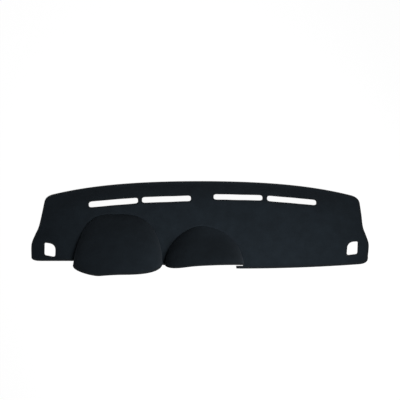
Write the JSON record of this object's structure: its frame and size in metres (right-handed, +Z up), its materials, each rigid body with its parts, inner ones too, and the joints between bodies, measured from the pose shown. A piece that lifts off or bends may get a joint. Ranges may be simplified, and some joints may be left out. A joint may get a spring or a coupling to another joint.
{
  "type": "dashboard cover mat",
  "caption": "Dark felt dashboard cover mat with raised instrument and centre hoods, long defroster slots, corner vent openings and bound edges.",
  "frame": {"origin": "under the middle of the mat's box, on the surface that it lies on", "axes": "+X along the mat to the right as the driver sees it, +Y towards the windscreen, +Z up"},
  "size_m": [1.4214, 0.5244, 0.0948],
  "materials": {
    "felt": "matte needled felt",
    "binding_tape": "matte woven tape"
  },
  "bodies": {
    "root": {"main_panel": "felt", "instrument_hood": "felt", "centre_hood": "felt", "panel_binding": "binding_tape", "notch_binding": "binding_tape", "instrument_hood_binding": "binding_tape", "centre_hood_binding": "binding_tape", "slot_binding_left_outer": "binding_tape", "slot_binding_left_inner": "binding_tape", "slot_binding_right_inner": "binding_tape", "slot_binding_right_outer": "binding_tape", "corner_binding_left": "binding_tape", "corner_binding_right": "binding_tape"}
  },
  "joints": []
}
